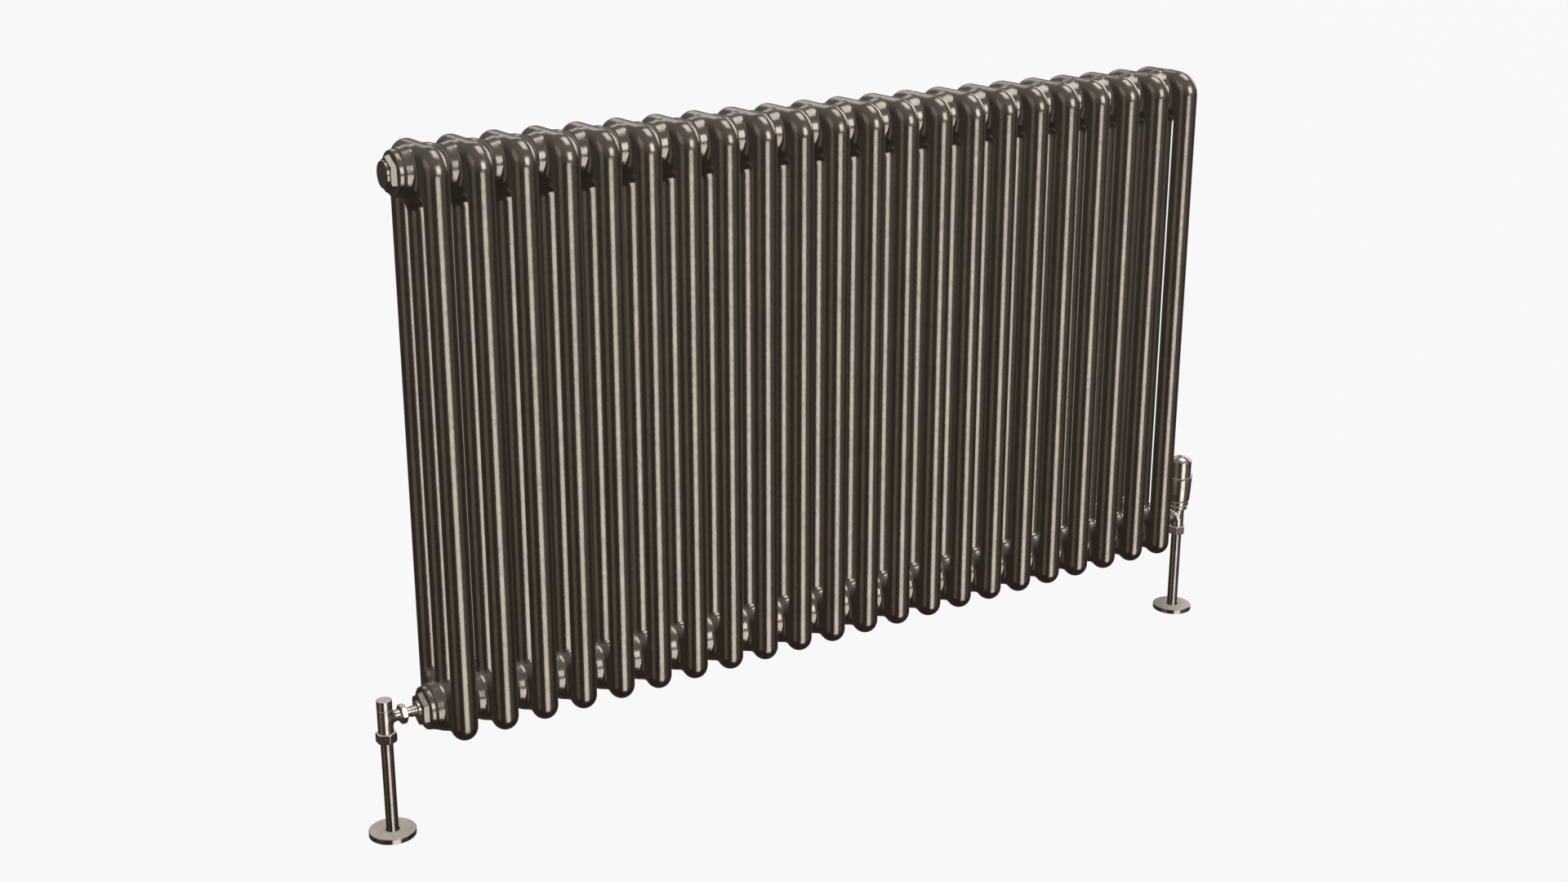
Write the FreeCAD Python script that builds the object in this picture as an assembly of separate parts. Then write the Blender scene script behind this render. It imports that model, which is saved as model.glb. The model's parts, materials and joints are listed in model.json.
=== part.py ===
"""Three-column cast iron radiator, wall hung, with a lockshield valve on the left,
a thermostatic valve on the right, nickel-plated pipes and floor collars.

Millimetres. +X runs along the radiator (thermostatic valve end), +Y points at the wall,
+Z is up. The origin is on the floor, below the middle of the whole assembly.
"""
import FreeCAD, Part
import math
import os

Vec = FreeCAD.Vector
X_AXIS = Vec(1, 0, 0)
Y_AXIS = Vec(0, 1, 0)
Z_AXIS = Vec(0, 0, 1)

# ---------------------------------------------------------------- driving dimensions
SECTION_COUNT = 22
PITCH = 45.0                  # section to section
SECTION_HEIGHT = 600.0
COLUMN_SPACING = 38.5         # front, middle and rear column axes
COLUMN_R = 12.75
HUB_INSET = 27.5              # hub axis from the top and bottom of a section
HUB_R = 25.5
HUB_LENGTH = 44.4             # less than the pitch by the joint gasket
FLOOR_CLEARANCE = 102.0       # underside of the columns above the floor
WALL_GAP = 30.0               # rear columns to the wall
VALVE_X = 541.9               # valve and pipe axis from the middle
PIPE_R = 6.35
PIPE_WALL = 0.7
BRACKET_X = 7 * PITCH         # brackets stand in the 4th joint from each end
BRACKET_HOLE_R = 3.5
BRACKET_HOLE_SPACING = 410.0
BRACKET_HOLE_DROP = 30.0      # pattern centre below the middle of the two hubs

# ---------------------------------------------------------------- derived places
SECTION_DEPTH = 2 * COLUMN_SPACING + 2 * COLUMN_R
MID_Y = -WALL_GAP / 2                              # middle plane of the sections
WALL_Y = MID_Y + SECTION_DEPTH / 2 + WALL_GAP
LOW_HUB_Z = FLOOR_CLEARANCE + HUB_INSET
HIGH_HUB_Z = FLOOR_CLEARANCE + SECTION_HEIGHT - HUB_INSET
HUB_FACE_X = PITCH * (SECTION_COUNT - 1) / 2 + HUB_LENGTH / 2

# ---------------------------------------------------------------- section details
SHOULDER_R = 27.0             # front and rear top corners
LOBE_R = 16.5                 # rounded foot of the front and rear columns
LOBE_SWEEP = math.radians(30)
VALLEY_Z = 5.0                # lower edge between the feet
SLOT_WIDTH = COLUMN_SPACING - 2 * COLUMN_R
SLOT_END = 52.5               # slot ends from the top and bottom
RIM_ROUND = 12.2              # nearly full round rims
COLUMN_BORE_R = 8.5
COLUMN_BORE_END = 9.5         # the column bores run this far past the hub axes
CROSS_BORE_R = 7.8            # waterway from column to column through head and foot
CROSS_BORE_END = COLUMN_SPACING + 6.0
THREAD_BORE_R = 17.0
THREAD_R = 16.9
NIPPLE_BORE_R = 12.0
NIPPLE_LENGTH = 30.0
GASKET_R = 25.2               # nearly flush with the hubs
GASKET_BORE_R = 17.4

# ---------------------------------------------------------------- end bushes
BUSH_GASKET = 1.0
BUSH_GASKET_R = 22.6
FLANGE_R = 23.0
FLANGE = 4.8
BUSH_HEX = 32.0               # across flats
BUSH_HEX_LENGTH = 6.0
BUSH_SHANK = 14.0
BUSH_BORE_R = 10.3
PLUG_THREAD_R = 10.2
PLUG_R = 13.5
PLUG_HEAD = 2.6
PLUG_CHAMFER = 0.8
VENT_NOSE_R = 6.0
VENT_NOSE = 2.0
VENT_DRILLING_R = 1.2
BLEED_R = 2.5
BLEED_CLEARANCE = 0.05
BLEED_LENGTH = 7.0
BLEED_GAP = 0.3               # the square stands this far off the nose
BLEED_SQUARE = 5.0
BLEED_SQUARE_LENGTH = 3.5
FLANGE_X = HUB_FACE_X + BUSH_GASKET
BUSH_HEX_X = FLANGE_X + FLANGE
BUSH_END_X = BUSH_HEX_X + BUSH_HEX_LENGTH

# ---------------------------------------------------------------- valves and pipes
BARREL_R = 7.9
SOCKET_R = 6.4
PORT_R = 3.8
SEAT_R = 3.5
MALE_THREAD_R = 7.4
NUT_BORE_R = 7.5
PIPE_TOP_Z = 117.0
COMPRESSION_NUT_Z = 104.0
BARREL_BOTTOM_Z = 114.0
PIPE_NUT_HEX = 19.0
PIPE_NUT_TURN = 30.0          # degrees: one corner faces the front
UNION_HEX = 18.0
UNION_TURN = 10.0             # degrees from a corner on top
UNION_OUTER = 15.5            # union nut faces, from the valve axis
UNION_INNER = 21.5
BRANCH_R = 5.8                # from the barrel to the union thread
TAIL_R = 4.9
TAIL_RING_R = 5.7
TAIL_FLANGE_R = 9.0           # against the bush
TAIL_FLANGE = 2.6
TAIL_THREAD_END = HUB_FACE_X
COLLAR_R = 24.1
COLLAR_HEIGHT = 5.5
COLLAR_BEVEL = 0.8
COLLAR_BORE_R = 7.1

# ---------------------------------------------------------------- lockshield valve sizes
LOCKSHIELD_TOP_Z = 139.1
LOCKSHIELD_CAP_GAP = 0.2
LOCKSHIELD_CAP_TOP_Z = 149.7
LOCKSHIELD_SEAT_Z = 123.5
SPINDLE_R = 2.0
LOCKSHIELD_CHAMBER_R = 5.0
HEADWORK_LOW_Z = 134.5
PLUG_LOW_Z = 125.5
PLUG_TOP_Z = 131.0
PLUG_TIP_R = 3.0
LOCK_PLUG_R = 4.4
CAP_BORE_R = 6.4
CAP_EDGE = 0.5
CAP_CROWN = 1.8               # thickness of its top
SPINDLE_FOOT_Z = 128.0
SPINDLE_FOOT_R = 1.5
SPINDLE_COLLAR_R = 3.0
SPINDLE_COLLAR_Z = 133.0
SPINDLE_COLLAR = 1.2
SPINDLE_SQUARE = 2.8
SPINDLE_SQUARE_Z = 143.0
SPINDLE_SQUARE_LENGTH = 3.2
HEADWORK_HEX = 10.0
HEADWORK_HEX_LENGTH = 2.6

# ---------------------------------------------------------------- thermostatic valve sizes
TRV_BARREL_TOP_Z = 136.0
TRV_THREAD_TOP_Z = 142.0
TRV_SEAT_Z = 124.5
TRV_PIN_R = 1.5
TRV_BASE_TOP_Z = 148.5
TRV_HANDLE_Z = 149.0
TRV_SEAM_Z = 181.0
TRV_DOME_EDGE_Z = 200.5
TRV_TOP_Z = 208.3
TRV_CHAMBER_R = 6.0
TRV_INSERT_LOW_Z = 134.0
TRV_DISC_R = 4.5
TRV_DISC_Z = 126.6
TRV_DISC = 1.9
PIN_SHOULDER_R = 3.6
PIN_SHOULDER = 0.8
GLAND_BOSS_R = 3.2
TRV_PIN_TOP_Z = 150.0
TRV_SENSOR_Z = 154.8
TRV_NECK_R = 9.0
TRV_HANDLE_LOW_R = 13.4
TRV_HANDLE_R = 14.7
TRV_CAP_R = 13.3
TRV_SHELL = 1.8
TRV_TAB_ANGLE = -35.0         # index tab, degrees from +X
SPRING_R = 2.9
SPRING_WIRE_R = 0.35
SPRING_PITCH = 1.6

# ---------------------------------------------------------------- wall bracket sizes
RAIL_WIDTH = 30.0
RAIL = 5.0
ARM = 8.0
CRADLE_R = HUB_R + 0.2
CLIP = 4.0
CLIP_BAND = 5.0
CLIP_SCREW_Y = 50.0           # from the middle plane of the sections
CLIP_SCREW_Z = 8.0            # above the lower hub axis
CLIP_SCREW_R = 2.5


# ---------------------------------------------------------------- helpers
def cylinder(radius, low, high, axis=Z_AXIS, centre=Vec(0, 0, 0)):
    """A cylinder from low to high, measured along its axis from centre."""
    return Part.makeCylinder(radius, high - low, centre + axis * low, axis)


def ring(outer_r, inner_r, low, high, axis=Z_AXIS, centre=Vec(0, 0, 0)):
    hole = cylinder(inner_r, low - 1, high + 1, axis, centre)
    return cylinder(outer_r, low, high, axis, centre).cut(hole)


def turned(profile, x):
    """Turns a closed (radius, z) profile about the vertical axis of the valve at x."""
    points = [Vec(radius, 0, z) for radius, z in profile]
    face = Part.Face(Part.makePolygon(points + points[:1]))
    solid = face.revolve(Vec(0, 0, 0), Z_AXIS, 360)
    solid.translate(Vec(x, MID_Y, 0))
    return solid


def hexagon(across_flats, low, high, axis=Z_AXIS, centre=Vec(0, 0, 0), turn=0):
    """A hexagonal bar with lightly chamfered corners, turned about its axis by turn degrees."""
    corner_r = across_flats / math.sqrt(3)
    points = [Vec(corner_r * math.cos(math.radians(a)), corner_r * math.sin(math.radians(a)), low)
              for a in range(0, 361, 60)]
    bar = Part.Face(Part.makePolygon(points)).extrude(Vec(0, 0, high - low))
    slope = (corner_r - across_flats / 2) / math.tan(math.radians(60))
    facing = [Vec(0, 0, low), Vec(across_flats / 2, 0, low), Vec(corner_r, 0, low + slope),
              Vec(corner_r, 0, high - slope), Vec(across_flats / 2, 0, high), Vec(0, 0, high)]
    bar = bar.common(Part.Face(Part.makePolygon(facing + facing[:1])).revolve(Vec(0, 0, 0), Z_AXIS, 360))
    aim = FreeCAD.Rotation(Z_AXIS, axis).multiply(FreeCAD.Rotation(Z_AXIS, turn))
    bar.Placement = FreeCAD.Placement(centre, aim)
    return bar


def mirrored(shape):
    """The same piece at the other end of the radiator."""
    return shape.mirror(Vec(0, 0, 0), X_AXIS)


def extruded(points, thickness, x):
    """A plate whose outline is given as (y, z) points, centred on the plane at x."""
    corners = [Vec(x - thickness / 2, y, z) for y, z in points]
    return Part.Face(Part.makePolygon(corners + corners[:1])).extrude(Vec(thickness, 0, 0))


def save(name, *solids):
    shape = solids[0] if len(solids) == 1 else Part.makeCompound(list(solids))
    for solid in shape.Solids:
        if not solid.isValid():
            raise ValueError(name + " is not a valid solid")
    shape.exportStep(os.path.join("parts", name + ".step"))
    print(name, len(shape.Solids), "solid(s)", round(shape.Volume / 1000, 2), "cm3")


# ---------------------------------------------------------------- one radiator section
def arc(centre, radius, start, end):
    """An arc in the section's middle plane, angles from +Y towards +Z, in radians."""
    angles = (start, (start + end) / 2, end)
    points = [Vec(0, centre[0] + radius * math.cos(a), centre[1] + radius * math.sin(a)) for a in angles]
    return Part.Arc(*points).toShape()


def section_outline():
    """Side outline: flat top, two round shoulders, two round feet and a shallow valley."""
    half_depth = SECTION_DEPTH / 2
    foot_y = half_depth - LOBE_R
    foot_end_z = LOBE_R * (1 - math.cos(LOBE_SWEEP))
    valley_r = (VALLEY_Z - foot_end_z) / (1 - math.cos(LOBE_SWEEP))
    valley_y = foot_y - (LOBE_R + valley_r) * math.sin(LOBE_SWEEP)
    shoulder_y = half_depth - SHOULDER_R
    shoulder_z = SECTION_HEIGHT - SHOULDER_R
    quarter = math.pi / 2
    edges = [
        arc((-foot_y, LOBE_R), LOBE_R, -2 * quarter, -quarter + LOBE_SWEEP),
        arc((-valley_y, VALLEY_Z - valley_r), valley_r, quarter + LOBE_SWEEP, quarter),
        Part.makeLine(Vec(0, -valley_y, VALLEY_Z), Vec(0, valley_y, VALLEY_Z)),
        arc((valley_y, VALLEY_Z - valley_r), valley_r, quarter, quarter - LOBE_SWEEP),
        arc((foot_y, LOBE_R), LOBE_R, -quarter - LOBE_SWEEP, 0),
        Part.makeLine(Vec(0, half_depth, LOBE_R), Vec(0, half_depth, shoulder_z)),
        arc((shoulder_y, shoulder_z), SHOULDER_R, 0, quarter),
        Part.makeLine(Vec(0, shoulder_y, SECTION_HEIGHT), Vec(0, -shoulder_y, SECTION_HEIGHT)),
        arc((-shoulder_y, shoulder_z), SHOULDER_R, quarter, 2 * quarter),
        Part.makeLine(Vec(0, -half_depth, shoulder_z), Vec(0, -half_depth, LOBE_R)),
    ]
    return Part.Wire(edges)


def slot(y):
    """The through slot between two columns, with round ends."""
    half = SLOT_WIDTH / 2
    low = SLOT_END + half
    high = SECTION_HEIGHT - SLOT_END - half
    box = Part.makeBox(4 * COLUMN_R, SLOT_WIDTH, high - low, Vec(-2 * COLUMN_R, y - half, low))
    ends = [cylinder(half, -2 * COLUMN_R, 2 * COLUMN_R, X_AXIS, Vec(0, y, z)) for z in (low, high)]
    return box.multiFuse(ends)


def radiator_section():
    """A hollow casting of three columns, with a hub through its head and its foot."""
    plate = Part.Face(section_outline()).extrude(Vec(2 * COLUMN_R, 0, 0))
    plate.translate(Vec(-COLUMN_R, 0, 0))
    for side in (-1, 1):
        plate = plate.cut(slot(side * COLUMN_SPACING / 2))
    rims = [edge for edge in plate.Edges
            if abs(abs(edge.CenterOfMass.x) - COLUMN_R) < 0.01]
    plate = plate.makeFillet(RIM_ROUND, rims)
    hub_heights = (HUB_INSET, SECTION_HEIGHT - HUB_INSET)
    hubs = [cylinder(HUB_R, -HUB_LENGTH / 2, HUB_LENGTH / 2, X_AXIS, Vec(0, 0, z)) for z in hub_heights]
    casting = plate.multiFuse(hubs)
    bore_top = SECTION_HEIGHT - HUB_INSET + COLUMN_BORE_END
    bores = [cylinder(COLUMN_BORE_R, HUB_INSET - COLUMN_BORE_END, bore_top, Z_AXIS, Vec(0, y, 0))
             for y in (-COLUMN_SPACING, 0, COLUMN_SPACING)]
    for z in hub_heights:
        bores.append(cylinder(CROSS_BORE_R, -CROSS_BORE_END, CROSS_BORE_END, Y_AXIS, Vec(0, 0, z)))
        bores.append(cylinder(THREAD_BORE_R, -HUB_LENGTH, HUB_LENGTH, X_AXIS, Vec(0, 0, z)))
    return casting.cut(bores[0].multiFuse(bores[1:]))


def section_x(index):
    return PITCH * (index - (SECTION_COUNT - 1) / 2)


def joint_positions():
    return [PITCH * (index - SECTION_COUNT / 2) for index in range(1, SECTION_COUNT)]


def joining_nipples(hub_z):
    """Threaded nipples that pull neighbouring sections together."""
    half = NIPPLE_LENGTH / 2
    return [ring(THREAD_R, NIPPLE_BORE_R, -half, half, X_AXIS, Vec(x, MID_Y, hub_z))
            for x in joint_positions()]


def joint_gaskets(hub_z):
    half = (PITCH - HUB_LENGTH) / 2
    return [ring(GASKET_R, GASKET_BORE_R, -half, half, X_AXIS, Vec(x, MID_Y, hub_z))
            for x in joint_positions()]


# ---------------------------------------------------------------- end bushes, plug and air vent
def end_bush(hub_z):
    """Right-hand bush: flange, hexagon and threaded shank, bored for a smaller thread."""
    hub = Vec(0, MID_Y, hub_z)
    body = cylinder(FLANGE_R, FLANGE_X, BUSH_HEX_X, X_AXIS, hub)
    body = body.fuse(hexagon(BUSH_HEX, 0, BUSH_HEX_LENGTH, X_AXIS, hub + X_AXIS * BUSH_HEX_X))
    body = body.fuse(cylinder(THREAD_R, HUB_FACE_X - BUSH_SHANK, FLANGE_X, X_AXIS, hub))
    return body.cut(cylinder(BUSH_BORE_R, HUB_FACE_X - 2 * BUSH_SHANK, BUSH_END_X + 1, X_AXIS, hub))


def bush_gasket(hub_z):
    return ring(BUSH_GASKET_R, GASKET_BORE_R, HUB_FACE_X, FLANGE_X, X_AXIS, Vec(0, MID_Y, hub_z))


def bush_plug():
    """Plug head with a chamfered rim on a threaded shank, at the right-hand top hub."""
    hub = Vec(0, MID_Y, HIGH_HUB_Z)
    head = cylinder(PLUG_R, BUSH_END_X, BUSH_END_X + PLUG_HEAD, X_AXIS, hub)
    outer_edge = [edge for edge in head.Edges if abs(edge.CenterOfMass.x - BUSH_END_X - PLUG_HEAD) < 0.01]
    head = head.makeChamfer(PLUG_CHAMFER, outer_edge)
    return head.fuse(cylinder(PLUG_THREAD_R, HUB_FACE_X, BUSH_END_X, X_AXIS, hub))


def air_vent():
    """The right-hand plug again, with a short nose and a bore for the bleed screw."""
    hub = Vec(0, MID_Y, HIGH_HUB_Z)
    face_x = BUSH_END_X + PLUG_HEAD
    body = bush_plug().fuse(cylinder(VENT_NOSE_R, face_x, face_x + VENT_NOSE, X_AXIS, hub))
    screw_bore = cylinder(BLEED_R + BLEED_CLEARANCE, face_x - BLEED_LENGTH - 1, face_x + VENT_NOSE + 1,
                          X_AXIS, hub)
    return body.cut(screw_bore).cut(cylinder(VENT_DRILLING_R, HUB_FACE_X - 1, face_x, X_AXIS, hub))


def bleed_screw():
    """Screw with a square head for the vent key."""
    face_x = BUSH_END_X + PLUG_HEAD
    square_x = face_x + VENT_NOSE + BLEED_GAP
    hub = Vec(0, MID_Y, HIGH_HUB_Z)
    shank = cylinder(BLEED_R, face_x - BLEED_LENGTH, square_x, X_AXIS, hub)
    corner = Vec(square_x, MID_Y - BLEED_SQUARE / 2, HIGH_HUB_Z - BLEED_SQUARE / 2)
    return shank.fuse(Part.makeBox(BLEED_SQUARE_LENGTH, BLEED_SQUARE, BLEED_SQUARE, corner))


# ---------------------------------------------------------------- pieces common to both valves
def pipe():
    """Supply pipe from the floor up into the valve, at the right-hand end."""
    return ring(PIPE_R, PIPE_R - PIPE_WALL, 0, PIPE_TOP_Z, Z_AXIS, Vec(VALVE_X, MID_Y, 0))


def floor_collar():
    outline = [(COLLAR_BORE_R, 0), (COLLAR_R, 0), (COLLAR_R, COLLAR_HEIGHT - COLLAR_BEVEL),
               (COLLAR_R - COLLAR_BEVEL, COLLAR_HEIGHT), (COLLAR_BORE_R, COLLAR_HEIGHT)]
    return turned(outline, VALVE_X)


def olive():
    """Brass compression ring squeezed onto the pipe."""
    low = BARREL_BOTTOM_Z - 8
    outline = [(PIPE_R, low), (PIPE_R + 0.4, low), (PIPE_R + 0.9, low + 1), (PIPE_R + 0.4, low + 2),
               (PIPE_R, low + 2)]
    return turned(outline, VALVE_X)


def compression_nut():
    axis = Vec(VALVE_X, MID_Y, 0)
    body = hexagon(PIPE_NUT_HEX, 0, BARREL_BOTTOM_Z - COMPRESSION_NUT_Z, Z_AXIS,
                   axis + Z_AXIS * COMPRESSION_NUT_Z, PIPE_NUT_TURN)
    body = body.cut(cylinder(PIPE_R + 0.1, 0, BARREL_BOTTOM_Z, Z_AXIS, axis))
    return body.cut(cylinder(NUT_BORE_R, COMPRESSION_NUT_Z + 1.5, BARREL_BOTTOM_Z + 1, Z_AXIS, axis))


def union_axis():
    return Vec(VALVE_X, MID_Y, LOW_HUB_Z)


def union_nut():
    """Nut that draws the tail against the valve body."""
    inward = -X_AXIS
    body = hexagon(UNION_HEX, 0, UNION_INNER - UNION_OUTER, inward,
                   union_axis() + inward * UNION_OUTER, UNION_TURN)
    body = body.cut(cylinder(NUT_BORE_R, 0, UNION_INNER - 1.2, inward, union_axis()))
    return body.cut(cylinder(TAIL_R + 0.1, 0, UNION_INNER + 1, inward, union_axis()))


def valve_tail():
    """Tube from the union nut into the end bush, with a flange, a groove and two collars."""
    inward = -X_AXIS
    axis = union_axis()
    bush_face = VALVE_X - BUSH_END_X
    body = cylinder(TAIL_R, UNION_OUTER + 3.0, bush_face, inward, axis)
    body = body.fuse(cylinder(NUT_BORE_R - 0.1, UNION_INNER - 2.8, UNION_INNER - 1.3, inward, axis))
    flange_face = bush_face - TAIL_FLANGE
    body = body.fuse(cylinder(TAIL_RING_R, flange_face - 5.4, flange_face - 3.0, inward, axis))
    body = body.fuse(cylinder(TAIL_RING_R, flange_face - 2.0, flange_face, inward, axis))
    body = body.fuse(cylinder(TAIL_FLANGE_R, flange_face, bush_face, inward, axis))
    body = body.fuse(cylinder(PLUG_THREAD_R, bush_face, VALVE_X - TAIL_THREAD_END, inward, axis))
    return body.cut(cylinder(PORT_R, 0, VALVE_X, inward, axis))


def valve_body(top_z, chamber_r, chamber_top_z, seat_z):
    """Angle body: barrel, pipe socket below, union branch towards the radiator."""
    centre = Vec(VALVE_X, MID_Y, 0)
    inward = -X_AXIS
    axis = union_axis()
    body = cylinder(BARREL_R, BARREL_BOTTOM_Z, top_z, Z_AXIS, centre)
    body = body.fuse(cylinder(MALE_THREAD_R, BARREL_BOTTOM_Z - 5.5, BARREL_BOTTOM_Z, Z_AXIS, centre))
    body = body.fuse(cylinder(BRANCH_R, 0, UNION_OUTER - 0.4, inward, axis))
    body = body.fuse(cylinder(MALE_THREAD_R, UNION_OUTER - 0.4, UNION_OUTER + 2.9, inward, axis))
    if chamber_top_z > top_z:
        body = body.fuse(cylinder(MALE_THREAD_R, top_z, chamber_top_z, Z_AXIS, centre))
    body = body.cut(cylinder(SOCKET_R, BARREL_BOTTOM_Z - 6, PIPE_TOP_Z + 0.3, Z_AXIS, centre))
    body = body.cut(cylinder(SEAT_R, PIPE_TOP_Z, seat_z + 1, Z_AXIS, centre))
    body = body.cut(cylinder(chamber_r, seat_z, chamber_top_z + 1, Z_AXIS, centre))
    return body.cut(cylinder(PORT_R, 0, UNION_INNER, inward, axis))


# ---------------------------------------------------------------- lockshield valve, modelled at +X
def lockshield_body():
    return valve_body(LOCKSHIELD_TOP_Z, LOCKSHIELD_CHAMBER_R, LOCKSHIELD_TOP_Z, LOCKSHIELD_SEAT_Z)


def lockshield_headwork():
    centre = Vec(VALVE_X, MID_Y, 0)
    body = cylinder(LOCKSHIELD_CHAMBER_R - 0.05, HEADWORK_LOW_Z, LOCKSHIELD_TOP_Z, Z_AXIS, centre)
    top = centre + Z_AXIS * LOCKSHIELD_TOP_Z
    body = body.fuse(hexagon(HEADWORK_HEX, 0, HEADWORK_HEX_LENGTH, Z_AXIS, top))
    return body.cut(cylinder(SPINDLE_R + 0.05, 0, LOCKSHIELD_CAP_TOP_Z, Z_AXIS, centre))


def lockshield_spindle():
    """Spindle: square top for the key, collar below the headwork, and the plug on its foot."""
    collar_top_z = SPINDLE_COLLAR_Z + SPINDLE_COLLAR
    outline = [(0, SPINDLE_FOOT_Z), (SPINDLE_FOOT_R, SPINDLE_FOOT_Z), (SPINDLE_FOOT_R, SPINDLE_COLLAR_Z),
               (SPINDLE_COLLAR_R, SPINDLE_COLLAR_Z), (SPINDLE_COLLAR_R, collar_top_z),
               (SPINDLE_R, collar_top_z), (SPINDLE_R, SPINDLE_SQUARE_Z), (0, SPINDLE_SQUARE_Z)]
    corner = Vec(VALVE_X - SPINDLE_SQUARE / 2, MID_Y - SPINDLE_SQUARE / 2, SPINDLE_SQUARE_Z)
    square = Part.makeBox(SPINDLE_SQUARE, SPINDLE_SQUARE, SPINDLE_SQUARE_LENGTH, corner)
    return turned(outline, VALVE_X).fuse(square)


def lockshield_plug():
    """Plug that closes onto the seat, with a blind bore for the spindle's foot."""
    bore_r = SPINDLE_FOOT_R + 0.08
    outline = [(0, PLUG_LOW_Z), (PLUG_TIP_R, PLUG_LOW_Z), (LOCK_PLUG_R, PLUG_LOW_Z + 1.4),
               (LOCK_PLUG_R, PLUG_TOP_Z), (bore_r, PLUG_TOP_Z), (bore_r, PLUG_LOW_Z + 0.6),
               (0, PLUG_LOW_Z + 0.6)]
    return turned(outline, VALVE_X)


def lockshield_cap():
    """Push-on cap, flush with the barrel."""
    low = LOCKSHIELD_TOP_Z + LOCKSHIELD_CAP_GAP
    top = LOCKSHIELD_CAP_TOP_Z
    outline = [(CAP_BORE_R, low), (BARREL_R, low), (BARREL_R, top - CAP_EDGE), (BARREL_R - CAP_EDGE, top),
               (0, top), (0, top - CAP_CROWN), (CAP_BORE_R, top - CAP_CROWN)]
    return turned(outline, VALVE_X)


# ---------------------------------------------------------------- thermostatic valve
def trv_body():
    return valve_body(TRV_BARREL_TOP_Z, TRV_CHAMBER_R, TRV_THREAD_TOP_Z, TRV_SEAT_Z)


def trv_insert():
    """Gland that guides the pin and closes the chamber."""
    centre = Vec(VALVE_X, MID_Y, 0)
    body = cylinder(TRV_CHAMBER_R - 0.05, TRV_INSERT_LOW_Z, TRV_THREAD_TOP_Z, Z_AXIS, centre)
    body = body.fuse(cylinder(GLAND_BOSS_R, TRV_THREAD_TOP_Z, TRV_THREAD_TOP_Z + 2.5, Z_AXIS, centre))
    return body.cut(cylinder(TRV_PIN_R + 0.05, 0, TRV_TOP_Z, Z_AXIS, centre))


def trv_disc():
    return cylinder(TRV_DISC_R, TRV_DISC_Z, TRV_DISC_Z + TRV_DISC, Z_AXIS, Vec(VALVE_X, MID_Y, 0))


def trv_pin():
    low = TRV_DISC_Z + TRV_DISC
    shoulder_z = low + PIN_SHOULDER
    outline = [(0, low), (PIN_SHOULDER_R, low), (PIN_SHOULDER_R, shoulder_z), (TRV_PIN_R, shoulder_z),
               (TRV_PIN_R, TRV_PIN_TOP_Z), (0, TRV_PIN_TOP_Z)]
    return turned(outline, VALVE_X)


def trv_return_spring():
    """Open coil between the pin's shoulder and the insert."""
    end_gap = SPRING_WIRE_R + 0.05
    low = TRV_DISC_Z + TRV_DISC + PIN_SHOULDER + end_gap
    height = TRV_INSERT_LOW_Z - end_gap - low
    helix = Part.makeHelix(SPRING_PITCH, height, SPRING_R)
    section = Part.Wire(Part.makeCircle(SPRING_WIRE_R, Vec(SPRING_R, 0, 0), Y_AXIS))
    coil = Part.Wire(helix).makePipeShell([section], True, True)
    coil.translate(Vec(VALVE_X, MID_Y, low))
    return coil


def trv_head_base():
    """Fixed ring nut under the head: two steps, and a neck the handle turns on."""
    outline = [(MALE_THREAD_R + 0.1, 137.0), (9.9, 137.0), (11.2, 138.0), (11.2, 142.2), (12.3, 142.8),
               (12.3, TRV_BASE_TOP_Z), (TRV_NECK_R, TRV_BASE_TOP_Z), (TRV_NECK_R, 153.0), (4.2, 153.0),
               (4.2, 145.5), (MALE_THREAD_R + 0.1, 145.5)]
    return turned(outline, VALVE_X)


def trv_head_handle():
    """Grip shell, widest below the seam, with the index tab that overlaps the cap."""
    inner_r = TRV_HANDLE_LOW_R - TRV_SHELL
    outline = [(TRV_NECK_R + 0.08, TRV_HANDLE_Z), (12.8, TRV_HANDLE_Z), (TRV_HANDLE_LOW_R, 150.5),
               (14.2, 160.0), (TRV_HANDLE_R, 171.0), (TRV_HANDLE_R, 178.0), (14.2, TRV_SEAM_Z),
               (inner_r, TRV_SEAM_Z), (inner_r, 154.0), (TRV_NECK_R + 0.08, 152.0)]
    handle = turned(outline, VALVE_X)
    tab = Part.makeBox(2.2, 3.6, 14.0, Vec(TRV_CAP_R + 0.05, -1.8, 173.0))
    tab = tab.makeFillet(0.8, [e for e in tab.Edges if e.CenterOfMass.x > TRV_CAP_R + 1.5])
    tab.rotate(Vec(0, 0, 0), Z_AXIS, TRV_TAB_ANGLE)
    tab.translate(Vec(VALVE_X, MID_Y, 0))
    inside = cylinder(TRV_CAP_R + 0.05, 150, TRV_SEAM_Z, Z_AXIS, Vec(VALVE_X, MID_Y, 0))
    return handle.fuse(tab.cut(inside))


def trv_head_cap():
    """Domed cap that closes the head above the seam."""
    rise = TRV_TOP_Z - TRV_DOME_EDGE_Z
    dome_r = (TRV_CAP_R ** 2 + rise ** 2) / (2 * rise)
    outer = cylinder(TRV_CAP_R, TRV_SEAM_Z, TRV_TOP_Z, Z_AXIS)
    outer = outer.common(Part.makeSphere(dome_r, Vec(0, 0, TRV_TOP_Z - dome_r)))
    inner = cylinder(TRV_CAP_R - TRV_SHELL, TRV_SEAM_Z - 1, TRV_TOP_Z, Z_AXIS)
    inner = inner.common(Part.makeSphere(dome_r - TRV_SHELL, Vec(0, 0, TRV_TOP_Z - dome_r)))
    shell = outer.cut(inner)
    shell.translate(Vec(VALVE_X, MID_Y, 0))
    return shell


def trv_sensor():
    """Wax capsule that presses the pin down as the room warms."""
    outline = [(0, TRV_PIN_TOP_Z), (2.5, TRV_PIN_TOP_Z), (2.5, TRV_SENSOR_Z), (8.0, TRV_SENSOR_Z),
               (8.8, 156.0), (8.8, 176.0), (7.6, 178.0), (0, 178.0)]
    return turned(outline, VALVE_X)


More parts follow.
